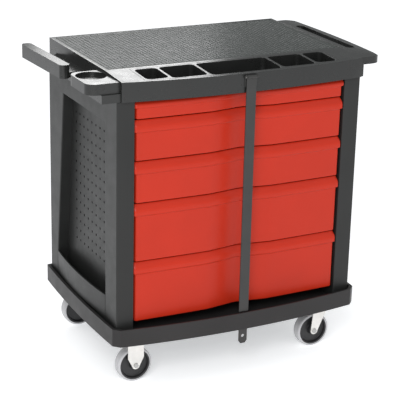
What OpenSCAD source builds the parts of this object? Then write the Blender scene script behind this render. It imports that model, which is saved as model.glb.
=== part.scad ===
// Rolling tool chest: a moulded cabinet with five red drawers, a bowed worktop with a
// push handle, a hand-hold wing, tool trays and a cup, a lock bar over the drawers, and
// a bowed base tray on two fixed and two swivel casters.
// Millimetres. +Z up, the drawers open towards -Y, origin on the floor under the centre.

/* [Overall] */
// Height of the worktop above the floor
overall_h = 852; // [760:1:1030]
// Width over the push handle and the wing
overall_w = 850; // [740:1:1020]
// Depth from the front of the base tray to the back of the worktop
overall_d = 540; // [480:1:660]
// How far the push handle's end of the worktop reaches past the cabinet
left_overhang = 76; // [66:1:90]
// How far the wing's end of the worktop reaches past the cabinet
right_overhang = 66; // [56:1:80]

/* [Cabinet] */
// Thickness of a side frame, which is also the width of a front post
post_w = 48; // [36:1:60]
// Width of the front post seen from the side
front_post_d = 75; // [60:1:100]
// Width of the rear post at the top of the window
rear_post_top_d = 107; // [80:1:140]
// Width of the rear post at the bottom of the window
rear_post_foot_d = 54; // [40:1:80]
// How far the side panel stands back from the outside of the frame
panel_recess = 30; // [20:1:38]
// Thickness of the side panels
panel_t = 4; // [3:0.5:6]
// Diameter of the peg holes in the side panels
peg_hole_d = 7; // [4:0.5:10]
// Spacing of the peg holes
peg_pitch = 28; // [20:1:40]
// Height of the side pocket's lip above the base tray
pocket_h = 64; // [40:1:90]
// How far the pocket's lip bows out
pocket_bow = 10; // [6:1:16]
// Thickness of the back panel
back_t = 6; // [4:1:12]
// Set-back of the cabinet's back from the worktop's
back_setback = 18; // [12:1:40]

/* [Worktop] */
// Height of the worktop's front rim
worktop_h = 57; // [50:1:75]
// How much lower the front rim is than the mat
front_drop = 7; // [4:1:10]
// Thickness of the worktop over its hollow underside
top_t = 12; // [8:1:16]
// Wall of the worktop's skirt and rim
skirt_t = 10; // [8:1:14]
// How far the front rim bows out over its width
rim_bow = 38; // [20:1:50]
// Thickness of the ribbed mat
mat_t = 2.5; // [2:0.5:4]
// Depth of the tool trays
tray_h = 42; // [30:1:46]
// Wall between two tool trays
tray_wall = 8; // [4:1:10]
// Front to back length of the tool trays at the middle
tray_d = 106; // [80:1:120]
// Width of the middle tray
tray_middle_w = 202; // [150:1:230]
// Width of the trays beside the middle one
tray_side_w = 97; // [70:1:110]
// Width of the end trays
tray_end_w = 60; // [40:1:70]
// Corner radius of the tool trays
tray_round = 12; // [6:1:16]
// Diameter of the cup in the front left corner
cup_d = 79; // [60:1:82]
// Depth of the cup
cup_h = 10; // [6:1:24]

/* [Handles] */
// Width of the push handle's bar
bar_grip_w = 28; // [22:1:32]
// Height of the push handle's bar
bar_grip_h = 36; // [26:1:40]
// How far the push handle's top is below the worktop
handle_drop = 10; // [4:1:20]
// Length of the push handle's bar
handle_l = 268; // [220:1:290]
// How far the push handle's bar splays out towards its rear end
handle_splay = 14; // [6:1:18]
// Length of the web that joins the push handle to the worktop
web_l = 225; // [110:1:240]
// Thickness of the wing on the right
wing_t = 25; // [18:1:30]
// Width of the hand-hold slot in the wing
slot_w = 28; // [24:1:32]
// Length of the hand-hold slot in the wing
slot_l = 290; // [200:1:310]

/* [Drawers] */
// Height taken by the top drawer
drawer_1_h = 52.5; // [46:0.5:60]
// Height taken by the second drawer
drawer_2_h = 109.5; // [90:0.5:130]
// Height taken by the third drawer
drawer_3_h = 113; // [90:0.5:130]
// Height taken by the fourth drawer
drawer_4_h = 160; // [120:0.5:175]
// Gap between two drawer fronts
front_gap = 4; // [3:0.5:6]
// Height of the pull lip along the top of each front
lip_h = 30; // [20:1:34]
// How far the pull lip stands out from the face
lip_out = 9; // [6:1:16]
// Height of the slope along the top of the lip
lip_slope_h = 16; // [8:1:18]
// Depth of the slope along the top of the lip
lip_slope_d = 12; // [8:1:16]
// How far the drawer faces stand back from the front posts
face_setback = 8; // [4:1:12]
// Depth of the valley down the middle of the fronts
valley_d = 14; // [10:1:16]
// Half width of the valley
valley_half = 85; // [60:1:110]
// How far each front bows out
front_bow = 6; // [2:1:10]
// Thickness of a front behind the valley
front_t = 8; // [6:1:12]
// Front to back length of a drawer tub
tub_l = 408; // [340:1:420]
// Thickness of a drawer tub's walls
tub_t = 3; // [2:0.5:5]
// Width left beside the tub for the runners
runner_space = 22; // [18:1:26]

/* [Lock bar] */
// Width of the lock bar
lock_w = 28; // [20:1:36]
// Thickness of the lock bar
lock_t = 3; // [2:0.5:5]
// Diameter of the hinge pin
lock_pin_d = 5; // [4:0.5:6]
// Diameter of the padlock hole
padlock_hole_d = 9; // [7:0.5:11]
// Length of the padlock tab below the base
tab_drop = 44; // [36:1:60]

/* [Base and casters] */
// Height of the base tray's underside above the floor
caster_h = 138; // [130:1:150]
// Height of the base tray
base_h = 48; // [40:1:60]
// Thickness of the base tray's floor
base_floor_t = 10; // [8:1:14]
// Thickness of the base tray's front lip
base_lip_t = 4.5; // [4:0.5:8]
// How far the base tray's front bows out
base_bow = 30; // [15:1:40]
// How far the base tray's sides bow out
base_side_bow = 10; // [6:1:16]
// How far the base tray's front corners are clipped
base_corner = 20; // [10:1:24]
// Wheel diameter
wheel_d = 98; // [90:1:104]
// Width of the tyre
tyre_w = 30; // [24:1:32]
// Thickness of the tyre on its core
tyre_t = 6; // [4:0.5:10]
// Distance of a swivelling wheel's axle from its swivel axis
trail = 18; // [10:1:24]
// Distance of the fixed casters from the left side of the cabinet
fixed_inset = 72; // [62:1:90]
// Distance of the swivel axes from the right side of the cabinet
swivel_inset = 64; // [58:1:90]
// Distance of the front casters from the cabinet's front
caster_front_inset = 53; // [40:1:80]
// Distance of the rear casters from the cabinet's back
caster_rear_inset = 24; // [22:1:70]

/* [Clearances] */
// Running clearance round the runners
slide_gap = 1; // [0.6:0.1:1.5]
// Radial clearance of a pin or axle in what turns on it
pin_gap = 0.08; // [0.02:0.01:0.1]
// Clearance between the lock bar and its neighbours
lock_gap = 1.5; // [1:0.1:2]
// Clearance under the lock bar's foot
foot_gap = 2; // [1.5:0.1:4]

/* [Hidden] */
DRAWERS = [1, 2, 3, 4, 5];
CORNERS = ["front_left", "front_right", "rear_left", "rear_right"];

body_grey = [0.26, 0.26, 0.26];
base_grey = [0.22, 0.22, 0.22];
drawer_red = [0.78, 0.15, 0.13];
tub_black = [0.16, 0.16, 0.16];
steel = [0.62, 0.62, 0.60];
dark_steel = [0.25, 0.25, 0.26];
zinc = [0.88, 0.87, 0.84];
tyre_grey = [0.66, 0.66, 0.66];

round_fn = 64;   // facets of a small circle
arc_fn = 1440;   // facets of the large circles that shape the bowed outlines

// Outlines
cab_half = (overall_w - left_overhang - right_overhang) / 2;
cab_shift = (left_overhang - right_overhang) / 2;
left_x = -cab_half - left_overhang;
right_x = cab_half + right_overhang;
inner_half = cab_half - post_w;
front_y = -overall_d / 2;
back_y = overall_d / 2;
cab_back_y = back_y - back_setback;
base_top_z = caster_h + base_h;
base_floor_z = caster_h + base_floor_t;
rear_corner = 12;
rim_z = overall_h - worktop_h;
rim_top_z = overall_h - front_drop;

// The lock bar's layers, from the base tray's lip back to the worktop's rim
lip_back_y = front_y + base_lip_t;
lock_front_y = lip_back_y + lock_gap + 0.5;
lock_back_y = lock_front_y + lock_t;
bracket_t = 2;
rim_front_y = lock_back_y + lock_gap + bracket_t;
knuckle_r = lock_pin_d / 2 + 2;
lock_axis_y = lock_back_y + lock_gap - knuckle_r - 1;
lock_axis_z = overall_h - front_drop - knuckle_r - 3.5;
lock_foot_z = base_top_z + foot_gap;

// The cabinet's front, set back so that the lock bar clears the pull lips
lip_clear = 26;
post_front_y = rim_front_y + 35;
face_front_y = post_front_y + face_setback;
front_back_y = face_front_y - front_bow + valley_d + front_t;

// Window in a side frame
window_top_z = rim_z - 70;
window_foot_z = base_top_z + 4;
window_front_y = post_front_y + front_post_d;
window_back_top_y = cab_back_y - rear_post_top_d;
window_back_foot_y = cab_back_y - rear_post_foot_d;
pocket_top_z = base_top_z + pocket_h;
panel_x = -cab_half + panel_recess;

// Drawer heights, the last one filling what is left above the base tray
stack_foot_z = base_top_z + 6;
drawer_5_h = rim_z - stack_foot_z - drawer_1_h - drawer_2_h - drawer_3_h - drawer_4_h;
drawer_hs = [drawer_1_h, drawer_2_h, drawer_3_h, drawer_4_h, drawer_5_h];
lip_half = inner_half - 1;
face_half = inner_half - 6;
tub_half = inner_half - runner_space;
channel_t = 2;
channel_h = 20;
channel_d = 12;
tub_lift = 6;
tub_drop = 8;

// Worktop
mat_x0 = -cab_half + 13;
mat_x1 = cab_half - 8;
top_x0 = -cab_half + 9;
top_x1 = cab_half - 2;
mat_y0 = rim_front_y + 135;
tray_half = tray_middle_w / 2 + tray_side_w + tray_end_w + 3 * tray_wall;
tray_front_y = rim_front_y + skirt_t;
cup_x = left_x + cup_d / 2 + 4;
cup_y = rim_front_y + cup_d / 2 + 84;
block_back_y = cup_y + cup_d / 2 + 7;
handle_front_y = back_y - 4 - handle_l;
handle_top_z = overall_h - handle_drop;

// Casters
axle_z = wheel_d / 2;
axle_r = 5;
core_r = wheel_d / 2 - tyre_t;
fork_inner = tyre_w / 2 + 2.5;
fork_t = 3;
kingpin_r = 7;
plate_t = 4;
bridge_z = wheel_d + 12;
fork_top_z = caster_h - plate_t - 4;
caster_front_y = post_front_y + caster_front_inset;
caster_back_y = cab_back_y - caster_rear_inset;
plate_half = [44, 30];
bolt_at = [34, 20];
bolt_r = 4;

function arc_radius(half, sag) = (half * half + sag * sag) / (2 * sag);
function sum_to(v, n) = n <= 0 ? 0 : v[n - 1] + sum_to(v, n - 1);
function drawer_top(n) = rim_z - sum_to(drawer_hs, n - 1) - front_gap / 2;
function drawer_foot(n) = rim_z - sum_to(drawer_hs, n) + front_gap / 2;
function is_fixed(c) = c == 0 || c == 2;
function corner_x(c) = is_fixed(c) ? -cab_half + fixed_inset : cab_half - swivel_inset;
function corner_y(c) = c < 2 ? caster_front_y : caster_back_y;
function trail_x(c) = is_fixed(c) ? corner_x(c) : corner_x(c) - trail;

// Front of a drawer's face in plan: a slight bow with a valley down the middle. The pull
// lip follows the same line further out, so both are drawn from the same points.
function valley(x) = valley_d * max(0, 1 - abs(x) / valley_half);
function face_y(x) = face_front_y - front_bow * (1 - pow(x / inner_half, 2)) + valley(x);
half_xs = [for (i = [0:6]) valley_half + (face_half - valley_half) * i / 6];
front_xs = concat(
    [-lip_half], [for (i = [6:-1:0]) -half_xs[i]], [0], half_xs, [lip_half]
);

module slab(x0, x1, y0, y1, z0, z1) {
    translate([x0, y0, z0]) cube([x1 - x0, y1 - y0, z1 - z0]);
}

module round_slab(x0, x1, y0, y1, z0, z1, r) {
    slab(x0 + r, x1 - r, y0, y1, z0, z1);
    slab(x0, x1, y0 + r, y1 - r, z0, z1);
    for (x = [x0 + r, x1 - r], y = [y0 + r, y1 - r]) {
        translate([x, y, z0]) cylinder(r = r, h = z1 - z0, $fn = round_fn);
    }
}

// A great disc whose foremost point is at y, so that it bows out by sag over 2 * half
module front_disc(y, half, sag, z0, z1) {
    r = arc_radius(half, sag);
    translate([0, y + r, z0]) cylinder(r = r, h = z1 - z0, $fn = arc_fn);
}

// The same for a side: its outermost point is at x, which may be on either side
module side_disc(x, y, half, sag, z0, z1) {
    r = arc_radius(half, sag);
    translate([x > 0 ? x - r : x + r, y, z0]) cylinder(r = r, h = z1 - z0, $fn = arc_fn);
}

// Carries a (y, z) outline from x to x + depth
module side_plate(x, depth, outline) {
    translate([x, 0, 0]) rotate([90, 0, 90]) linear_extrude(depth) polygon(outline);
}

// Carries an (x, z) outline from y back to y + depth
module front_plate(y, depth, outline) {
    translate([0, y + depth, 0]) rotate([90, 0, 0]) linear_extrude(depth) polygon(outline);
}

module y_cylinder(x, y0, y1, z, r, facets) {
    translate([x, y1, z]) rotate([90, 0, 0]) cylinder(r = r, h = y1 - y0, $fn = facets);
}

module x_cylinder(x0, x1, y, z, r, facets) {
    translate([x0, y, z]) rotate([0, 90, 0]) cylinder(r = r, h = x1 - x0, $fn = facets);
}

// What is modelled on the left is mirrored for the right
module on_side(right) {
    if (right) mirror([1, 0, 0]) children();
    else children();
}

// ---- Base ----

module base_block(inset, front_inset, z0, z1) {
    half = cab_half + 20 - inset;
    y0 = front_y + front_inset;
    y1 = cab_back_y + 10 - inset;
    mid = (y0 + y1) / 2;
    front_cut = base_bow + base_corner;
    reach = half + (y1 - y0) / 2 - (front_cut + rear_corner) / 2;
    side = reach * sqrt(2);
    intersection() {
        slab(-half, half, y0, y1, z0, z1);
        front_disc(y0, half, base_bow, z0, z1);
        side_disc(-half, mid, (y1 - y0) / 2, base_side_bow, z0, z1);
        side_disc(half, mid, (y1 - y0) / 2, base_side_bow, z0, z1);
        translate([0, mid + (front_cut - rear_corner) / 2, z0]) rotate([0, 0, 45])
            translate([-side / 2, -side / 2, 0]) cube([side, side, z1 - z0]);
    }
}

module base_tray() {
    color(base_grey) difference() {
        base_block(0, 0, caster_h, base_top_z);
        base_block(8, base_lip_t, base_floor_z, base_top_z + 1);
        slab(-tab_half(), tab_half(), lock_front_y, lock_back_y, caster_h - 1, base_floor_z + 1);
        for (c = [0:3]) bolt_shanks(c, caster_h - 1, base_floor_z - 2, bolt_r);
    }
}

module cabinet_floor() {
    color(body_grey)
        slab(-inner_half, inner_half, post_front_y, cab_back_y - back_t,
             base_floor_z, base_floor_z + 10);
}

// ---- Cabinet ----

function window_outline() = [
    [window_front_y, window_foot_z], [window_back_foot_y, window_foot_z],
    [window_back_foot_y, pocket_top_z], [window_back_top_y, window_top_z],
    [window_front_y, window_top_z]
];

module side_frame(right) {
    color(body_grey) on_side(right) difference() {
        slab(-cab_half, -inner_half, post_front_y, cab_back_y, base_floor_z, rim_z);
        side_plate(-cab_half - 1, post_w + 2, window_outline());
    }
}

function peg_zs() = [for (z = [pocket_top_z + 62 : peg_pitch : window_top_z - 24]) z];
function peg_ys() = [for (y = [window_front_y + 22 : peg_pitch : window_back_top_y - 12]) y];

module side_panel(right) {
    color(body_grey) on_side(right) difference() {
        side_plate(panel_x, panel_t, window_outline());
        for (z = peg_zs(), y = peg_ys()) {
            x_cylinder(panel_x - 1, panel_x + panel_t + 1, y, z, peg_hole_d / 2, 32);
        }
    }
}

module side_pocket(right) {
    mid = (window_front_y + window_back_foot_y) / 2;
    half = (window_back_foot_y - window_front_y) / 2;
    out_x = -cab_half - pocket_bow;
    lip_t = 5;
    color(body_grey) on_side(right) union() {
        difference() {
            intersection() {
                slab(out_x, -cab_half + lip_t, window_front_y, window_back_foot_y,
                     base_top_z, pocket_top_z);
                side_disc(out_x, mid, half, pocket_bow, base_top_z, pocket_top_z);
            }
            side_disc(out_x + lip_t, mid, half, pocket_bow, base_top_z - 1, pocket_top_z + 1);
            slab(-cab_half, panel_x, window_front_y - 1, window_back_foot_y + 1,
                 base_top_z - 1, window_foot_z);
        }
        intersection() {
            slab(out_x, panel_x, window_front_y, window_back_foot_y,
                 window_foot_z, window_foot_z + 4);
            side_disc(out_x, mid, half, pocket_bow, window_foot_z, window_foot_z + 4);
        }
    }
}

module back_panel() {
    color(body_grey) difference() {
        slab(-inner_half, inner_half, cab_back_y - back_t, cab_back_y, base_floor_z, rim_z);
        screw_places() y_cylinder(0, -back_t - 1, 1, 0, 2.2, 32);
        for (x = [-1, 1]) {
            slab(x * inner_half / 2 - inner_half * 0.4, x * inner_half / 2 + inner_half * 0.4,
                 cab_back_y - 2, cab_back_y + 1, base_top_z + 60, rim_z - 60);
        }
    }
}

module screw_places() {
    for (x = [-inner_half + 12, 0, inner_half - 12], i = [0:4]) {
        translate([x, cab_back_y, base_top_z + 20 + i * (rim_z - base_top_z - 40) / 4])
            children();
    }
}

module back_screws() {
    color(steel) screw_places() {
        y_cylinder(0, -back_t, 0, 0, 2.2, 32);
        y_cylinder(0, 0, 2.5, 0, 5, 32);
    }
}

// ---- Worktop ----

module rim_disc(inset, z0, z1) {
    front_disc(rim_front_y + inset, right_x - inset, rim_bow, z0, z1);
}

// What the sloped strip between the mat and the rim leaves off the top
module front_slope() {
    side_plate(-overall_w, 2 * overall_w, [
        [mat_y0 - 3, overall_h], [rim_front_y - 1, rim_top_z], [rim_front_y - 1, overall_h + 5],
        [mat_y0 - 3, overall_h + 5]
    ]);
}

module worktop() {
    color(body_grey) difference() {
        intersection() {
            slab(top_x0, top_x1, rim_front_y, back_y, rim_z, overall_h);
            rim_disc(0, rim_z, overall_h);
        }
        slab(top_x0 + skirt_t, top_x1 - skirt_t, mat_y0 - 12, back_y - skirt_t,
             rim_z - 1, overall_h - top_t);
        tray_space(0);
        front_slope();
        slab(mat_x0, mat_x1, mat_y0, back_y - 8, overall_h - mat_t, overall_h + 1);
    }
}

module tray_space(inset) {
    intersection() {
        slab(-tray_half + inset, tray_half - inset, tray_front_y + inset,
             tray_front_y + tray_d + tray_wall - inset, overall_h - tray_h - 4, overall_h + 1);
        rim_disc(skirt_t + inset, overall_h - tray_h - 5, overall_h + 2);
    }
}

module work_mat() {
    color([0.36, 0.37, 0.36])
        slab(mat_x0, mat_x1, mat_y0, back_y - 8, overall_h - mat_t, overall_h);
}

// One compartment from x0 to x1, its front wall set back enough for the bowed rim
module compartment(x0, x1) {
    far = max(abs(x0), abs(x1));
    r = arc_radius(right_x - skirt_t, rim_bow);
    y0 = tray_front_y + 4 + r - sqrt(r * r - far * far);
    round_slab(x0, x1, y0, tray_front_y + tray_d, overall_h - tray_h, overall_h + 1, tray_round);
}

module tool_tray() {
    side_x = tray_middle_w / 2 + tray_wall;
    end_x = side_x + tray_side_w + tray_wall;
    color(body_grey) difference() {
        intersection() {
            tray_space(0);
            slab(-tray_half, tray_half, front_y, back_y, rim_z, overall_h);
        }
        front_slope();
        compartment(-tray_middle_w / 2, tray_middle_w / 2);
        for (right = [false, true]) on_side(right) {
            compartment(-side_x - tray_side_w, -side_x);
            compartment(-end_x - tray_end_w, -end_x);
        }
    }
}

module corner_cup() {
    lobe_z = rim_top_z - 28;
    color(body_grey) difference() {
        union() {
            intersection() {
                round_slab(left_x, top_x0 + 40, rim_front_y + rim_bow - 1, block_back_y,
                           lobe_z, rim_top_z, 26);
                rim_disc(0, lobe_z, rim_top_z);
                slab(left_x, top_x0, front_y, block_back_y, lobe_z, rim_top_z);
            }
            slab(left_x + 34, top_x0, post_front_y - 4, block_back_y - 12, rim_z, lobe_z);
        }
        translate([cup_x, cup_y, rim_top_z - cup_h])
            cylinder(d = cup_d, h = cup_h + 1, $fn = 96);
    }
}

module handle_bar(grow, z0, z1) {
    translate([left_x + handle_splay, handle_front_y, 0])
        rotate([0, 0, asin(handle_splay / handle_l)])
            round_slab(-grow, bar_grip_w + grow, -grow, handle_l + grow, z0, z1,
                       bar_grip_w / 2 - 2 + grow);
}

module push_handle() {
    grip_foot_z = handle_top_z - bar_grip_h;
    web_x0 = left_x + handle_splay + bar_grip_w / 2;
    web_top_z = grip_foot_z + 14;
    scoop_r = (top_x0 - left_x - bar_grip_w) / 2;
    color(body_grey) union() {
        handle_bar(0, grip_foot_z, handle_top_z);
        difference() {
            slab(web_x0, top_x0, handle_front_y + 10, handle_front_y + web_l, grip_foot_z, web_top_z);
            translate([top_x0 - scoop_r, handle_front_y + web_l, grip_foot_z - 1])
                cylinder(r = scoop_r, h = worktop_h, $fn = 96);
        }
        slab(web_x0 + 16, top_x0, block_back_y, handle_front_y + 30, rim_z, grip_foot_z + 4);
    }
}

module hand_hold_wing() {
    x1 = right_x;
    y0 = rim_front_y + rim_bow - 6;
    y1 = back_y - 34;
    slot_x = x1 - 26 - slot_w / 2;
    slot_y = (y0 + y1) / 2 + 6;
    wing_corner = 34;
    color(body_grey) difference() {
        union() {
            intersection() {
                round_slab(top_x1 - 80, x1, y0, y1, overall_h - wing_t, overall_h, wing_corner);
                slab(top_x1, x1, y0, y1, overall_h - wing_t, overall_h);
                rim_disc(0, overall_h - wing_t, overall_h);
                side_disc(x1, (y0 + y1) / 2, (y1 - y0) / 2, 12, overall_h - wing_t, overall_h);
            }
            slab(top_x1, cab_half + 6, post_front_y - 4, y1 - 20, rim_z, overall_h - wing_t);
        }
        front_slope();
        // the top falls away towards the outside of the slot
        front_plate(front_y, overall_d, [
            [slot_x, overall_h], [x1 + 1, overall_h - 5], [x1 + 1, overall_h + 1], [slot_x, overall_h + 1]
        ]);
        round_slab(slot_x - slot_w / 2, slot_x + slot_w / 2, slot_y - slot_l / 2,
                   slot_y + slot_l / 2, rim_z - 1, overall_h + 1, slot_w / 2 - 2);
    }
}

// ---- Drawers ----

// Everything between the face's line moved out by near_out and by far_out
module front_zone(near_out, far_out, z0, z1) {
    last = len(front_xs) - 1;
    outline = concat(
        [for (x = front_xs) [x, face_y(x) - far_out]],
        [for (i = [last:-1:0]) [front_xs[i], face_y(front_xs[i]) - near_out]]
    );
    translate([0, 0, z0]) linear_extrude(z1 - z0) polygon(outline);
}

// The face under a pull lip, which has a sloped top and a finger groove in its underside
module drawer_front(n) {
    top = drawer_top(n);
    foot = drawer_foot(n);
    lip_foot = top - min(lip_h, drawer_hs[n - 1] * 0.55);
    crest_y = face_front_y - front_bow - lip_out;
    groove_half = lip_half - 8;
    outline = concat(
        [for (x = front_xs) [x, face_y(x) - lip_out]],
        [[lip_half, front_back_y], [-lip_half, front_back_y]]
    );
    color(drawer_red) difference() {
        translate([0, 0, foot]) linear_extrude(top - foot) polygon(outline);
        front_zone(0, lip_out + 5, foot - 1, lip_foot);
        intersection() {
            front_zone(0, lip_out - 5, lip_foot - 1, lip_foot + 8);
            slab(-groove_half, groove_half, front_y, front_back_y, lip_foot - 1, lip_foot + 8);
        }
        for (s = [-1, 1]) slab(s > 0 ? face_half : -lip_half - 1, s > 0 ? lip_half + 1 : -face_half,
                               front_y, front_back_y + 1, foot - 1, lip_foot);
        side_plate(-lip_half - 1, 2 * lip_half + 2, [
            [crest_y - 1, top - lip_slope_h], [crest_y + lip_slope_d, top],
            [crest_y + lip_slope_d, top + 1], [crest_y - 1, top + 1]
        ]);
    }
}

module drawer_tub(n) {
    z0 = drawer_foot(n) + tub_lift;
    z1 = drawer_top(n) - tub_drop;
    color(tub_black) difference() {
        slab(-tub_half, tub_half, front_back_y, front_back_y + tub_l, z0, z1);
        slab(-tub_half + tub_t, tub_half - tub_t, front_back_y + tub_t,
             front_back_y + tub_l - tub_t, z0 + tub_t, z1 + 1);
    }
}

function runner_z(n) = drawer_foot(n) + tub_lift + 14;

module drawer_slides(n) {
    half_h = channel_h / 2 - channel_t - slide_gap;
    color(steel) for (right = [false, true]) on_side(right)
        slab(-inner_half + channel_t + slide_gap, -tub_half, front_back_y + 4,
             front_back_y + tub_l - 4, runner_z(n) - half_h, runner_z(n) + half_h);
}

module runners(right) {
    color(steel) on_side(right) for (n = DRAWERS) difference() {
        slab(-inner_half, -inner_half + channel_d, front_back_y + 2, cab_back_y - back_t,
             runner_z(n) - channel_h / 2, runner_z(n) + channel_h / 2);
        slab(-inner_half + channel_t, -inner_half + channel_d + 1, front_back_y + 1,
             cab_back_y - back_t - 6, runner_z(n) - channel_h / 2 + channel_t,
             runner_z(n) + channel_h / 2 - channel_t);
    }
}

// ---- Lock bar ----

function tab_half() = lock_w / 2 - 1.5;

module lock_bar() {
    half = lock_w / 2;
    color(dark_steel) difference() {
        union() {
            slab(-half, half, lock_front_y, lock_back_y, lock_foot_z, lock_axis_z);
            x_cylinder(-half, half, lock_axis_y, lock_axis_z, knuckle_r, round_fn);
        }
        x_cylinder(-half - 1, half + 1, lock_axis_y, lock_axis_z,
                   lock_pin_d / 2 + pin_gap, round_fn);
    }
}

module lock_bracket() {
    inner = lock_w / 2 + 0.8;
    outer = inner + 3;
    back = rim_front_y;
    color(dark_steel) difference() {
        union() {
            slab(-outer, outer, back - bracket_t, back, lock_axis_z - 26, lock_axis_z + knuckle_r);
            for (s = [-1, 1]) slab(s > 0 ? inner : -outer, s > 0 ? outer : -inner,
                                   lock_axis_y, back - 0.5,
                                   lock_axis_z - knuckle_r, lock_axis_z + knuckle_r);
            x_cylinder(-outer, -inner, lock_axis_y, lock_axis_z, knuckle_r, round_fn);
            x_cylinder(inner, outer, lock_axis_y, lock_axis_z, knuckle_r, round_fn);
        }
        x_cylinder(-outer - 1, outer + 1, lock_axis_y, lock_axis_z, lock_pin_d / 2, round_fn);
        x_cylinder(-inner, inner, lock_axis_y, lock_axis_z, knuckle_r + pin_gap, round_fn);
    }
}

module lock_pin() {
    reach = lock_w / 2 + 4.8;
    color(steel) x_cylinder(-reach, reach, lock_axis_y, lock_axis_z, lock_pin_d / 2, round_fn);
}

module padlock_tab() {
    half = tab_half();
    foot = caster_h - tab_drop;
    color(dark_steel) difference() {
        front_plate(lock_front_y, lock_t, [
            [-half, base_top_z - 2], [-half, foot + 8], [-half + 6, foot],
            [half - 6, foot], [half, foot + 8], [half, base_top_z - 2]
        ]);
        y_cylinder(0, lock_front_y - 1, lock_back_y + 1, caster_h - tab_drop / 2,
                   padlock_hole_d / 2, round_fn);
    }
}

// ---- Casters ----

module bolt_shanks(c, z0, z1, r) {
    for (sx = [-1, 1], sy = [-1, 1]) {
        translate([corner_x(c) + sx * bolt_at[0], corner_y(c) + sy * bolt_at[1], z0])
            cylinder(r = r, h = z1 - z0, $fn = 32);
    }
}

module caster_bolts() {
    color(zinc) for (c = [0:3], sx = [-1, 1], sy = [-1, 1]) {
        translate([corner_x(c) + sx * bolt_at[0], corner_y(c) + sy * bolt_at[1], 0]) union() {
            translate([0, 0, caster_h - plate_t]) cylinder(r = bolt_r, h = plate_t + 8, $fn = 32);
            translate([0, 0, caster_h - plate_t - 5]) cylinder(r = 7, h = 5, $fn = 6);
        }
    }
}

module caster_plate(c) {
    z0 = caster_h - plate_t;
    color(zinc) difference() {
        translate([corner_x(c), corner_y(c), 0]) union() {
            round_slab(-plate_half[0], plate_half[0], -plate_half[1], plate_half[1],
                       z0, caster_h, 8);
            if (!is_fixed(c)) {
                translate([0, 0, z0 - 3]) cylinder(r = 18, h = 3.5, $fn = round_fn);
                translate([0, 0, bridge_z - 6]) cylinder(r = kingpin_r, h = z0 - bridge_z + 7,
                                                         $fn = round_fn);
                translate([0, 0, bridge_z - 7]) cylinder(r = 11, h = 5, $fn = round_fn);
            }
        }
        bolt_shanks(c, z0 - 1, caster_h + 1, bolt_r);
    }
}

// A fork's two legs, each given as an (x, z) outline, with a round end about the axle
module fork_legs(c, outline) {
    for (ly = [corner_y(c) - fork_inner - fork_t, corner_y(c) + fork_inner]) {
        front_plate(ly, fork_t, outline);
        y_cylinder(trail_x(c), ly, ly + fork_t, axle_z, 11, round_fn);
    }
}

module fixed_fork(c) {
    x = corner_x(c);
    y = corner_y(c);
    z1 = caster_h - plate_t;
    color(zinc) difference() {
        union() {
            slab(x - 23, x + 23, y - fork_inner - fork_t, y + fork_inner + fork_t, z1 - 4, z1);
            fork_legs(c, [
                [x - 23, z1 - 1], [x - 23, axle_z + 22], [x - 10, axle_z - 4],
                [x + 10, axle_z - 4], [x + 23, axle_z + 22], [x + 23, z1 - 1]
            ]);
        }
        y_cylinder(x, y - fork_inner - 9, y + fork_inner + 9, axle_z, axle_r, round_fn);
    }
}

module swivel_fork(c) {
    x = corner_x(c);
    y = corner_y(c);
    ax = trail_x(c);
    color(zinc) difference() {
        union() {
            round_slab(x - 23, x + 23, y - fork_inner - fork_t, y + fork_inner + fork_t,
                       bridge_z, bridge_z + 4, 2);
            translate([x, y, bridge_z + 3]) cylinder(r1 = 17, r2 = 24, h = fork_top_z - bridge_z - 3,
                                                     $fn = round_fn);
            fork_legs(c, [
                [x - 23, bridge_z + 1], [ax - 11, axle_z], [ax + 11, axle_z],
                [x + 21, bridge_z + 1]
            ]);
        }
        translate([x, y, bridge_z - 1]) cylinder(r = kingpin_r + pin_gap,
                                                 h = fork_top_z - bridge_z + 2, $fn = round_fn);
        y_cylinder(ax, y - fork_inner - 9, y + fork_inner + 9, axle_z, axle_r, round_fn);
    }
}

module caster_fork(c) {
    if (is_fixed(c)) fixed_fork(c);
    else swivel_fork(c);
}

module caster_axle(c) {
    y = corner_y(c);
    ax = trail_x(c);
    end = fork_inner + fork_t;
    color(steel) union() {
        y_cylinder(ax, y - end - 1, y + end + 1, axle_z, axle_r, round_fn);
        y_cylinder(ax, y - end - 3.5, y - end, axle_z, 7, 6);
        y_cylinder(ax, y + end, y + end + 3.5, axle_z, 7, 6);
    }
}

module turned(c, outline) {
    translate([trail_x(c), corner_y(c), axle_z]) rotate([90, 0, 0])
        rotate_extrude($fn = 128) polygon(outline);
}

module wheel_core(c) {
    bore = axle_r + pin_gap;
    hub = 13;
    half = tyre_w / 2 + 1;
    color([0.12, 0.12, 0.12]) turned(c, [
        [bore, -half], [hub, -half], [hub + 2, -5], [core_r - 6, -5], [core_r - 4, -half + 3],
        [core_r, -half + 3], [core_r, half - 3], [core_r - 4, half - 3], [core_r - 6, 5],
        [hub + 2, 5], [hub, half], [bore, half]
    ]);
}

module tyre(c) {
    half = tyre_w / 2;
    r = wheel_d / 2;
    round_r = 5;
    shoulder = [for (a = [0:15:90]) [r - round_r + round_r * cos(a), half - round_r + round_r * sin(a)]];
    color(tyre_grey) turned(c, concat(
        shoulder, [[core_r, half], [core_r, -half]],
        [for (i = [len(shoulder) - 1:-1:0]) [shoulder[i][0], -shoulder[i][1]]]
    ));
}

// The cabinet's centre line stands off the whole object's, because the two ends differ
module place() {
    translate([cab_shift, 0, 0]) children();
}

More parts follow.
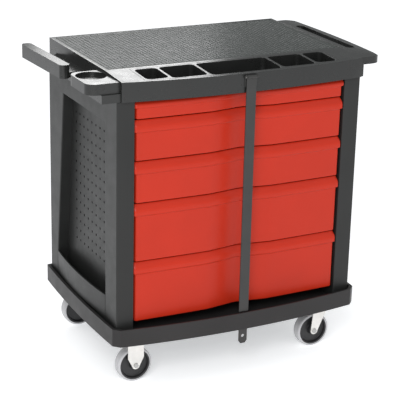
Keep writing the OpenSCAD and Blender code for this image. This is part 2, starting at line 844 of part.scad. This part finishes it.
place() base_tray();
place() cabinet_floor();
place() back_panel();
place() side_frame(false);  // side_frame_left
place() side_frame(true);  // side_frame_right
place() side_panel(false);  // side_panel_left
place() side_panel(true);  // side_panel_right
place() side_pocket(false);  // side_pocket_left
place() side_pocket(true);  // side_pocket_right
place() worktop();
place() work_mat();
place() tool_tray();
place() corner_cup();
place() push_handle();
place() hand_hold_wing();
place() runners(false);  // runners_left
place() runners(true);  // runners_right
place() lock_bracket();
place() lock_pin();
place() padlock_tab();
place() caster_bolts();
place() back_screws();
place() lock_bar();
for (n = DRAWERS) {
    place() drawer_front(n);
    place() drawer_tub(n);
    place() drawer_slides(n);
}
for (c = [0:3]) {
    place() caster_plate(c);
    place() caster_fork(c);
    place() caster_axle(c);
    place() wheel_core(c);
    place() tyre(c);
}
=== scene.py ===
"""The looks of the rolling tool chest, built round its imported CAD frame."""

import math

import bpy
from mathutils import Matrix, Vector


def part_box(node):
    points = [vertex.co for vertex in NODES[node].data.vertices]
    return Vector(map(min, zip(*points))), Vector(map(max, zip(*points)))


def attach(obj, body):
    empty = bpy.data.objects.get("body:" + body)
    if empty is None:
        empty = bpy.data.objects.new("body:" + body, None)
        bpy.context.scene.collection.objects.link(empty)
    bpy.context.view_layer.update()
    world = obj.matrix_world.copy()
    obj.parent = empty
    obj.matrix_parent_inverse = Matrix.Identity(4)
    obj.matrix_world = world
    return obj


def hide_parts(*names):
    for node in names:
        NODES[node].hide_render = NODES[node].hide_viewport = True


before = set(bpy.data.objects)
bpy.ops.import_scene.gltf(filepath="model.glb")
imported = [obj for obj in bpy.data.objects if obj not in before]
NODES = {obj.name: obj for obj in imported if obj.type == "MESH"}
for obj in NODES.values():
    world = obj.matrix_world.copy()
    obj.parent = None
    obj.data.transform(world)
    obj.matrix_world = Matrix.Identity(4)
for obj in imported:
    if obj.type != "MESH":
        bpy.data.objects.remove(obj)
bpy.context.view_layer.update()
MM = 0.001
DRAWERS = range(1, 6)
CORNERS = ("front_left", "front_right", "rear_left", "rear_right")

# ---- Camera: in front of the chest, to its left and above it ----

CAMERA_AZIMUTH = -26.9  # degrees from straight in front; less than zero is to the left
CAMERA_ELEVATION = 19.4  # degrees above the target
CAMERA_ROLL = 1.4  # degrees
CAMERA_DISTANCE = 3.95
CAMERA_TARGET = Vector((0.0156, 0.017, 0.4219))
CAMERA_SHIFT_X = -0.0068
CAMERA_SHIFT_Y = -0.0085
CAMERA_REACH = 50.0
FOCAL_LENGTH = 126.8  # mm
SENSOR_WIDTH = 36.0  # mm


def make_camera():
    azimuth, elevation = math.radians(CAMERA_AZIMUTH), math.radians(CAMERA_ELEVATION)
    back = Vector((
        math.sin(azimuth) * math.cos(elevation),
        -math.cos(azimuth) * math.cos(elevation),
        math.sin(elevation),
    ))
    right = (-back).cross(Vector((0, 0, 1))).normalized()
    up = back.cross(right)
    roll = math.radians(CAMERA_ROLL)
    rolled_right = right * math.cos(roll) + up * math.sin(roll)
    rolled_up = up * math.cos(roll) - right * math.sin(roll)
    turn = Matrix((rolled_right, rolled_up, back)).transposed().to_4x4()
    data = bpy.data.cameras.new("camera")
    data.lens = FOCAL_LENGTH
    data.sensor_width = SENSOR_WIDTH
    data.shift_x = CAMERA_SHIFT_X
    data.shift_y = CAMERA_SHIFT_Y
    data.clip_end = CAMERA_REACH
    camera = bpy.data.objects.new("camera", data)
    camera.matrix_world = Matrix.Translation(CAMERA_TARGET + back * CAMERA_DISTANCE) @ turn
    bpy.context.scene.collection.objects.link(camera)
    bpy.context.scene.camera = camera


make_camera()

# ---- Materials: noise scales are in cycles per metre, bump distances in metres ----

NOISE_ROUGHNESS = 0.55
NOISE_LOW, NOISE_HIGH, NOISE_PEAK = 0.3, 0.7, 0.75  # the part of a noise's range that is used
CLOUD_SCALE = 7.0  # cloudy colour
PATCH_SCALE = 28.0  # uneven gloss
GRAIN_SCALE = 950.0  # spark-eroded grain
GRAIN_DISTANCE = 0.0004
WAVE_SCALE = 9.0  # the slow unevenness of a moulded face
WAVE_STRENGTH = 0.06
WAVE_DISTANCE = 0.001
RIM_START = 0.53  # pointiness at which an edge begins to look worn
RIM_FULL = 0.60
METAL_CLOUD_SCALE = 22.0
METAL_MOTTLE = 0.1
METAL_PATCH_SCALE = 60.0
METAL_GRAIN_SCALE = 500.0
METAL_GRAIN_STRENGTH = 0.08
METAL_GRAIN_DISTANCE = 0.0003


class Shader:
    """A small helper that adds nodes to one material and joins them up."""

    def __init__(self, name):
        self.material = bpy.data.materials.new(name)
        self.material.use_nodes = True
        self.tree = self.material.node_tree
        self.bsdf = self.tree.nodes["Principled BSDF"]
        self.coords = self.tree.nodes.new("ShaderNodeTexCoord").outputs["Object"]

    def join(self, a, b):
        self.tree.links.new(a, b)

    def noise(self, scale, detail=4.0, stretch=None):
        node = self.tree.nodes.new("ShaderNodeTexNoise")
        node.inputs["Scale"].default_value = scale
        node.inputs["Detail"].default_value = detail
        node.inputs["Roughness"].default_value = NOISE_ROUGHNESS
        source = self.coords
        if stretch:
            mapping = self.tree.nodes.new("ShaderNodeMapping")
            mapping.inputs["Scale"].default_value = stretch
            self.join(source, mapping.inputs["Vector"])
            source = mapping.outputs["Vector"]
        self.join(source, node.inputs["Vector"])
        return node.outputs["Fac"]

    def ramp(self, value, stops):
        """Turns a value into a colour between two stops, each of them a place and a colour."""
        node = self.tree.nodes.new("ShaderNodeValToRGB")
        for element, (place, colour) in zip(node.color_ramp.elements, stops):
            element.position = place
            element.color = (*colour, 1.0)
        self.join(value, node.inputs["Fac"])
        return node.outputs["Color"]

    def blend(self, factor, a, b):
        node = self.tree.nodes.new("ShaderNodeMix")
        node.data_type = "RGBA"
        self.join(factor, node.inputs["Factor"])
        self.join(a, node.inputs["A"])
        self.join(b, node.inputs["B"])
        return node.outputs["Result"]

    def bump(self, height, strength, distance):
        """Adds a bump on top of any bump that the surface already has."""
        node = self.tree.nodes.new("ShaderNodeBump")
        node.inputs["Strength"].default_value = strength
        node.inputs["Distance"].default_value = distance
        self.join(height, node.inputs["Height"])
        if self.bsdf.inputs["Normal"].is_linked:
            self.join(self.bsdf.inputs["Normal"].links[0].from_socket, node.inputs["Normal"])
        self.join(node.outputs["Normal"], self.bsdf.inputs["Normal"])


def grey(value):
    return (value, value, value)


def shade(colour, factor):
    return tuple(min(1.0, c * factor) for c in colour)


def plastic(name, colour, rough=(0.38, 0.5), grain=0.12, mottle=0.12, specular=0.5, edge=0.25):
    """Moulded resin: cloudy colour, uneven gloss, a fine spark-eroded grain and paler worn edges."""
    s = Shader(name)
    cloud = s.noise(CLOUD_SCALE)
    dark, light = shade(colour, 1 - mottle), shade(colour, 1 + mottle)
    base = s.ramp(cloud, [(NOISE_LOW, dark), (NOISE_HIGH, light)])
    worn = s.ramp(cloud, [(0.0, shade(colour, 1 + edge)), (1.0, shade(colour, 1 + 2 * edge))])
    geometry = s.tree.nodes.new("ShaderNodeNewGeometry")
    rim = s.ramp(geometry.outputs["Pointiness"], [(RIM_START, grey(0.0)), (RIM_FULL, grey(1.0))])
    s.join(s.blend(rim, base, worn), s.bsdf.inputs["Base Color"])
    patches = s.noise(PATCH_SCALE, 5.0)
    gloss = s.ramp(patches, [(NOISE_LOW, grey(rough[0])), (NOISE_PEAK, grey(rough[1]))])
    s.join(gloss, s.bsdf.inputs["Roughness"])
    s.bsdf.inputs["Specular IOR Level"].default_value = specular
    s.bump(s.noise(GRAIN_SCALE, 2.0), grain, GRAIN_DISTANCE)
    s.bump(s.noise(WAVE_SCALE, 2.0), WAVE_STRENGTH, WAVE_DISTANCE)
    return s.material


def metal(name, colour, rough=(0.25, 0.4), metallic=1.0, streak=None):
    """Plated or painted steel with cloudy colour and gloss, drawn out along a streak if it has one."""
    s = Shader(name)
    cloud = s.noise(METAL_CLOUD_SCALE, 5.0, stretch=streak)
    dark, light = shade(colour, 1 - METAL_MOTTLE), shade(colour, 1 + METAL_MOTTLE)
    s.join(s.ramp(cloud, [(NOISE_LOW, dark), (NOISE_HIGH, light)]), s.bsdf.inputs["Base Color"])
    s.bsdf.inputs["Metallic"].default_value = metallic
    patches = s.noise(METAL_PATCH_SCALE, 4.0, stretch=streak)
    gloss = s.ramp(patches, [(NOISE_LOW, grey(rough[0])), (NOISE_HIGH, grey(rough[1]))])
    s.join(gloss, s.bsdf.inputs["Roughness"])
    grain = s.noise(METAL_GRAIN_SCALE, 2.0, stretch=streak)
    s.bump(grain, METAL_GRAIN_STRENGTH, METAL_GRAIN_DISTANCE)
    return s.material


BODY = plastic("body_resin", (0.016, 0.0165, 0.016), rough=(0.38, 0.48), specular=0.32)
TOP = plastic("worktop_resin", (0.013, 0.0135, 0.013), rough=(0.25, 0.33), grain=0.04,
              specular=0.45)
BASE = plastic("base_resin", (0.020, 0.019, 0.019), rough=(0.42, 0.52), specular=0.3)
MAT = plastic("mat_resin", (0.034, 0.038, 0.036), rough=(0.36, 0.46), grain=0.25, specular=0.3)
RED = plastic("drawer_resin", (0.44, 0.022, 0.007), rough=(0.28, 0.36), grain=0.05,
              mottle=0.04, edge=0.10, specular=0.22)
TUB = plastic("tub_resin", (0.02, 0.02, 0.02), rough=(0.45, 0.6))
DARK_STEEL = metal("dark_steel", (0.022, 0.022, 0.021), rough=(0.34, 0.44), metallic=0.0)
RUNNER_STEEL = metal("runner_steel", (0.5, 0.5, 0.49), streak=(1, 0.05, 1))
PIN_STEEL = metal("pin_steel", (0.45, 0.45, 0.44))
ZINC = metal("zinc_plate", (0.78, 0.77, 0.74), rough=(0.32, 0.48), metallic=0.75)
CORE = plastic("wheel_core", (0.016, 0.016, 0.017), rough=(0.3, 0.42))
TYRE = plastic("tyre_rubber", (0.46, 0.46, 0.47), rough=(0.55, 0.7), grain=0.2, edge=0.05)

# ---- The CAD nodes: softened edges and a material each ----

WELD_DISTANCE = 1e-5
FLAT_ANGLE = math.radians(0.6)  # faces that meet at less than this are one face
BEVEL_ANGLE = math.radians(32)  # edges sharper than this are rounded


def soften(node, width, material, segments=3):
    """Rounds a CAD node's edges: its flat faces are made whole first, so that a bevel runs clean."""
    o = NODES[node]
    o.data.materials.clear()
    o.data.materials.append(material)
    weld = o.modifiers.new("weld", "WELD")
    weld.merge_threshold = WELD_DISTANCE
    whole = o.modifiers.new("whole_faces", "DECIMATE")
    whole.decimate_type = "DISSOLVE"
    whole.angle_limit = FLAT_ANGLE
    bevel = o.modifiers.new("bevel", "BEVEL")
    bevel.width = width
    bevel.segments = segments
    bevel.limit_method = "ANGLE"
    bevel.angle_limit = BEVEL_ANGLE
    bevel.use_clamp_overlap = True
    for polygon in o.data.polygons:
        polygon.use_smooth = True
    weighted = o.modifiers.new("normals", "WEIGHTED_NORMAL")
    weighted.keep_sharp = True


for name in ("worktop", "corner_cup", "push_handle", "hand_hold_wing"):
    soften(name, 3 * MM, TOP)
soften("tool_tray", 1.2 * MM, TOP)
for side in ("left", "right"):
    soften(f"side_frame_{side}", 3 * MM, BODY)
    soften(f"side_panel_{side}", 0.6 * MM, BODY, 2)
    soften(f"side_pocket_{side}", 1.5 * MM, BODY)
    soften(f"runners_{side}", 0.5 * MM, RUNNER_STEEL, 2)
soften("base_tray", 2.5 * MM, BASE)
soften("cabinet_floor", 1.5 * MM, BASE)
soften("back_panel", 1 * MM, BODY, 2)
soften("back_screws", 0.8 * MM, PIN_STEEL)
soften("lock_bar", 0.8 * MM, DARK_STEEL)
soften("lock_bracket", 0.5 * MM, DARK_STEEL)
soften("padlock_tab", 0.6 * MM, DARK_STEEL)
soften("lock_pin", 0.6 * MM, PIN_STEEL)
soften("caster_bolts", 0.8 * MM, ZINC)
for n in DRAWERS:
    soften(f"drawer_{n}_tub", 1 * MM, TUB, 2)
    soften(f"drawer_{n}_slides", 0.8 * MM, RUNNER_STEEL, 2)
for corner in CORNERS:
    soften(f"caster_plate_{corner}", 0.8 * MM, ZINC)
    soften(f"caster_fork_{corner}", 0.8 * MM, ZINC)
    soften(f"caster_axle_{corner}", 0.8 * MM, PIN_STEEL)
    soften(f"wheel_core_{corner}", 1.0 * MM, CORE)
    soften(f"tyre_{corner}", 0.5 * MM, TYRE, 2)

# ---- Mesh pieces ----


def add_piece(name, verts, faces, material, body, slot, *replaced):
    mesh = bpy.data.meshes.new(name)
    mesh.from_pydata(verts, [], faces)
    mesh.validate()
    mesh.update()
    mesh.materials.append(material)
    for polygon in mesh.polygons:
        polygon.use_smooth = True
    piece = bpy.data.objects.new(name, mesh)
    bpy.context.scene.collection.objects.link(piece)
    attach(piece, body)
    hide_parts(*replaced)
    return piece


CORNER_STEPS = 5
LONGEST_SHARE = 0.48  # of a side, so that the curves at its two ends stay apart


def rounded(points, reaches):
    """The open polyline through points, with a curve at each inner corner instead."""
    out = [Vector(points[0])]
    for i in range(1, len(points) - 1):
        a, b, c = (Vector(p) for p in points[i - 1:i + 2])
        reach = min(reaches[i - 1], (a - b).length * LONGEST_SHARE, (c - b).length * LONGEST_SHARE)
        start = b + (a - b).normalized() * reach
        end = b + (c - b).normalized() * reach
        for k in range(CORNER_STEPS + 1):
            t = k / CORNER_STEPS
            out.append(start * (1 - t) ** 2 + b * 2 * t * (1 - t) + end * t ** 2)
    out.append(Vector(points[-1]))
    return out


CENTRE = (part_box("drawer_2_front")[0].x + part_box("drawer_2_front")[1].x) / 2
VALLEY_HALF, VALLEY_DEPTH, FRONT_BOW = 85 * MM, 14 * MM, 6 * MM
VALLEY_FLOOR_SOFTNESS = 4 * MM
VALLEY_EDGE_SOFTNESS = 1 * MM
LIP_OUT, LIP_STEP = 9 * MM, 5 * MM  # how far the lip stands out, in front and at each end
LIP_CREST_DROP, LIP_FOOT_DROP = 17 * MM, 30 * MM  # below the top of the front
LIP_CORNER = 9 * MM
LIP_CORNER_BULGE = 0.6  # the corner's width as a share of its height
FULL_LIP_HEIGHT = 75 * MM  # a front lower than this has a smaller lip
FACE_RECESS = 3.5 * MM
TOP_BACK, TOP_FRONT = -4 * MM, -2 * MM  # the flat top's two edges, measured out from the face line
LIP_LEAN = 0.4 * MM
LIP_UNDERCUT = 2.5 * MM
FOOT_BACK = -6 * MM
PROFILE_CURVES = (2.5 * MM, 7 * MM, 1.6 * MM, 2.2 * MM, 2.5 * MM)  # one for each inner corner
EDGE_SLACK = 0.5 * MM  # a row this close under the lip's foot still has the lip's width
END_ROUND, END_RETURN = 6 * MM, 8 * MM
END_STEPS, FACE_STEPS = 6, 72


def soft_valley(x):
    """Depth of the valley at x from the centre line, its floor and its edges rounded."""
    soft = VALLEY_FLOOR_SOFTNESS
    inner = math.sqrt(x * x + soft * soft) - soft
    reach = VALLEY_HALF - inner
    return VALLEY_DEPTH * (reach + math.sqrt(reach * reach + VALLEY_EDGE_SOFTNESS ** 2)) / 2 / VALLEY_HALF


def front_profile(top, foot, crest, lip_foot):
    """The front's side outline from its top back edge to its foot, as how far out and how high."""
    face_out = LIP_OUT - FACE_RECESS
    return rounded(
        [(TOP_BACK, top), (TOP_FRONT, top), (LIP_OUT, crest), (LIP_OUT - LIP_LEAN, lip_foot),
         (face_out, lip_foot - LIP_UNDERCUT), (face_out, foot), (FOOT_BACK, foot)],
        PROFILE_CURVES,
    )


def front_stations(width):
    """Places across a front of this half width, each with how far its rounded ends pull it back."""
    angles = [math.pi / 2 * k / END_STEPS for k in range(END_STEPS, -1, -1)]
    ends = [(END_ROUND * (1 - math.sin(a)), END_ROUND * (1 - math.cos(a))) for a in angles]
    reach = width - END_ROUND
    stations = [(-width, END_ROUND + END_RETURN)]
    stations += [(-width + inset, pull) for inset, pull in ends]
    stations += [((k / FACE_STEPS * 2 - 1) * reach, 0.0) for k in range(1, FACE_STEPS)]
    stations += [(width - inset, pull) for inset, pull in reversed(ends)]
    stations += [(width, END_ROUND + END_RETURN)]
    return stations


def drawer_front(n):
    """A moulded front: a band that slopes out to a crest and steps back to the face."""
    node = f"drawer_{n}_front"
    low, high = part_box(node)
    half, top, foot, back = (high.x - low.x) / 2, high.z, low.z, high.y
    face_line = low.y + LIP_OUT + FRONT_BOW
    lip = min(1.0, (top - foot) / FULL_LIP_HEIGHT)
    crest, lip_foot = top - LIP_CREST_DROP * lip, top - LIP_FOOT_DROP * lip
    corner = LIP_CORNER * lip
    rows = []
    for out, z in front_profile(top, foot, crest, lip_foot):
        width = half if z > lip_foot - EDGE_SLACK else half - LIP_STEP
        if z > top - corner:
            rise = (z - top + corner) / corner
            width = half - corner * LIP_CORNER_BULGE * (1 - math.sqrt(max(0.0, 1 - rise * rise)))
        row = []
        for x, pull in front_stations(width):
            line = face_line - FRONT_BOW * (1 - (x / (half + MM)) ** 2) + soft_valley(x)
            row.append((CENTRE + x, min(line - out + pull, back), z))
        rows.append(row)
    back_row_top = [(x, back, top) for x, _, _ in rows[0]]
    back_row_foot = [(x, back, foot) for x, _, _ in rows[-1]]
    rows = [back_row_top] + rows + [back_row_foot]
    count = len(rows[0])
    verts = [v for row in rows for v in row]
    faces = []
    for i in range(len(rows)):
        j = (i + 1) % len(rows)
        for k in range(count - 1):
            faces.append((i * count + k, j * count + k, j * count + k + 1, i * count + k + 1))
    faces.append([i * count for i in range(len(rows))])
    faces.append([i * count + count - 1 for i in reversed(range(len(rows)))])
    add_piece(f"front_moulding_{n}", verts, faces, RED, f"drawer_{n}", "drawer_red", node)


for n in DRAWERS:
    drawer_front(n)


PAD_PITCH_X, PAD_PITCH_Y = 11 * MM, 6.5 * MM
PAD_GAP, PAD_RISE, PAD_SLOPE = 1.6 * MM, 0.9 * MM, 0.7 * MM
MAT_BORDER = 6 * MM
BLOCK_SIDES_AND_TOP = ((4, 5, 6, 7), (0, 1, 5, 4), (1, 2, 6, 5), (2, 3, 7, 6), (3, 0, 4, 7))
BLOCK_UNDERSIDE = (3, 2, 1, 0)


def block_corners(x0, y0, x1, y1, foot, top, slope=0.0):
    """The eight corners of a block, with its top drawn in by slope on all four sides."""
    return [(x0, y0, foot), (x1, y0, foot), (x1, y1, foot), (x0, y1, foot),
            (x0 + slope, y0 + slope, top), (x1 - slope, y0 + slope, top),
            (x1 - slope, y1 - slope, top), (x0 + slope, y1 - slope, top)]


def work_mat():
    """The mat: rows of small raised pads over a thin sheet."""
    low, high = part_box("work_mat")
    sheet_top = high.z - PAD_RISE
    verts = block_corners(low.x, low.y, high.x, high.y, low.z, sheet_top)
    faces = [BLOCK_UNDERSIDE, *BLOCK_SIDES_AND_TOP]
    across = int((high.x - low.x - 2 * MAT_BORDER) / PAD_PITCH_X)
    along = int((high.y - low.y - 2 * MAT_BORDER) / PAD_PITCH_Y)
    x_start = (low.x + high.x - across * PAD_PITCH_X) / 2
    y_start = (low.y + high.y - along * PAD_PITCH_Y) / 2
    for j in range(along):
        for i in range(across):
            x0 = x_start + i * PAD_PITCH_X + PAD_GAP / 2
            y0 = y_start + j * PAD_PITCH_Y + PAD_GAP / 2
            x1, y1 = x0 + PAD_PITCH_X - PAD_GAP, y0 + PAD_PITCH_Y - PAD_GAP
            first = len(verts)
            verts += block_corners(x0, y0, x1, y1, sheet_top, high.z, PAD_SLOPE)
            faces += [tuple(first + k for k in face) for face in BLOCK_SIDES_AND_TOP]
    piece = add_piece("ribbed_mat", verts, faces, MAT, "cabinet", "mat_plastic", "work_mat")
    for polygon in piece.data.polygons:
        polygon.use_smooth = False


work_mat()

# ---- Floor and lights ----

DIM_DIRECTION = Vector((0.50, 0.84, 0.22))
BRIGHT_SKY, BRIGHT_UNTIL = (0.86, 0.86, 0.87, 1.0), 0.25  # until this cosine with DIM_DIRECTION
DIM_SKY, DIM_FROM = (0.34, 0.35, 0.35, 1.0), 0.95
FLOOR_HALF = 12.0
FLOOR_DARK, FLOOR_LIGHT = 0.84, 0.86
FLOOR_CLOUD_SCALE = 3.0
FLOOR_GLOW_COLOUR = (0.96, 0.98, 1.0, 1.0)
FLOOR_GLOW = 0.46


def make_world():
    """An even studio: bright in front and to the left, dimmer behind the object and to its right."""
    world = bpy.data.worlds.new("studio")
    world.use_nodes = True
    tree = world.node_tree
    coords = tree.nodes.new("ShaderNodeTexCoord")
    facing = tree.nodes.new("ShaderNodeVectorMath")
    facing.operation = "DOT_PRODUCT"
    facing.inputs[1].default_value = DIM_DIRECTION.normalized()
    tree.links.new(coords.outputs["Generated"], facing.inputs[0])
    ramp = tree.nodes.new("ShaderNodeValToRGB")
    ramp.color_ramp.elements[0].position = BRIGHT_UNTIL
    ramp.color_ramp.elements[0].color = BRIGHT_SKY
    ramp.color_ramp.elements[1].position = DIM_FROM
    ramp.color_ramp.elements[1].color = DIM_SKY
    tree.links.new(facing.outputs["Value"], ramp.inputs["Fac"])
    tree.links.new(ramp.outputs["Color"], tree.nodes["Background"].inputs["Color"])
    bpy.context.scene.world = world
    bpy.context.scene.view_settings.view_transform = "Standard"


def make_floor():
    """White paper that glows a little, so that it stays white and keeps a light shadow."""
    mesh = bpy.data.meshes.new("floor")
    corners = [(x * FLOOR_HALF, y * FLOOR_HALF, 0) for x, y in ((-1, -1), (1, -1), (1, 1), (-1, 1))]
    mesh.from_pydata(corners, [], [(0, 1, 2, 3)])
    s = Shader("floor_paper")
    stops = [(NOISE_LOW, grey(FLOOR_DARK)), (NOISE_HIGH, grey(FLOOR_LIGHT))]
    s.join(s.ramp(s.noise(FLOOR_CLOUD_SCALE), stops), s.bsdf.inputs["Base Color"])
    s.bsdf.inputs["Roughness"].default_value = 0.8
    s.bsdf.inputs["Specular IOR Level"].default_value = 0.1
    s.bsdf.inputs["Emission Color"].default_value = FLOOR_GLOW_COLOUR
    s.bsdf.inputs["Emission Strength"].default_value = FLOOR_GLOW
    mesh.materials.append(s.material)
    floor = bpy.data.objects.new("floor", mesh)
    bpy.context.scene.collection.objects.link(floor)


def area_light(name, place, target, size, power, seen=True):
    """A rectangular lamp at place, turned to the target; power is in watts."""
    data = bpy.data.lights.new(name, "AREA")
    data.shape = "RECTANGLE"
    data.size, data.size_y = size
    data.energy = power
    light = bpy.data.objects.new(name, data)
    light.visible_camera = seen
    direction = Vector(target) - Vector(place)
    turn = direction.to_track_quat("-Z", "Y").to_matrix().to_4x4()
    light.matrix_world = Matrix.Translation(place) @ turn
    bpy.context.scene.collection.objects.link(light)


make_world()
make_floor()
area_light("key", place=(-1.9, -2.9, 2.4), target=(0, 0, 0.4), size=(1.5, 1.5), power=70)
area_light("sheen", place=(0.12, 0.80, 1.22), target=(-0.22, -0.2, 0.85), size=(0.6, 0.35),
           power=3.4, seen=False)
